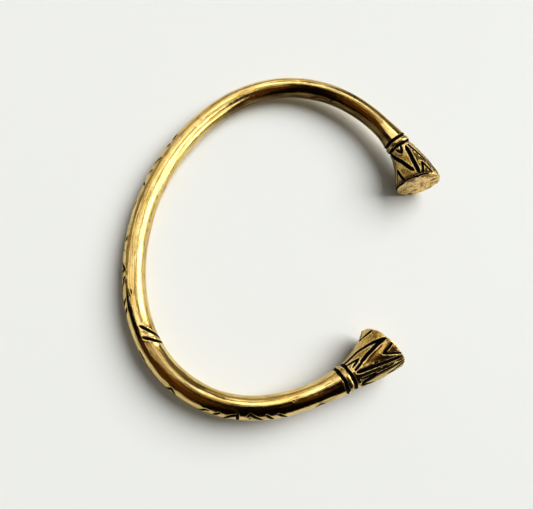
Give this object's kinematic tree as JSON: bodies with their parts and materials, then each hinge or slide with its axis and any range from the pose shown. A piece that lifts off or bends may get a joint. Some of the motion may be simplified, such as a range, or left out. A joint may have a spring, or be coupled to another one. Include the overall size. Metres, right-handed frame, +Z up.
{
  "type": "cuff bracelet",
  "caption": "Open wrist cuff of round polished brass wire with flared trumpet ends, ringed necks and hand-engraved, darkened lines; it lies on its side.",
  "frame": {"origin": "on the table, under the middle of the cuff's bounding box", "axes": "+Z up from the table that the cuff lies on, +X from the back of the cuff to its gap, +Y along the gap from one end to the other"},
  "size_m": [0.0536, 0.0694, 0.0091],
  "materials": {
    "brass": "polished, with darkened engraving and roughly hammered end faces"
  },
  "bodies": {
    "root": {"cuff": "brass"}
  },
  "joints": []
}
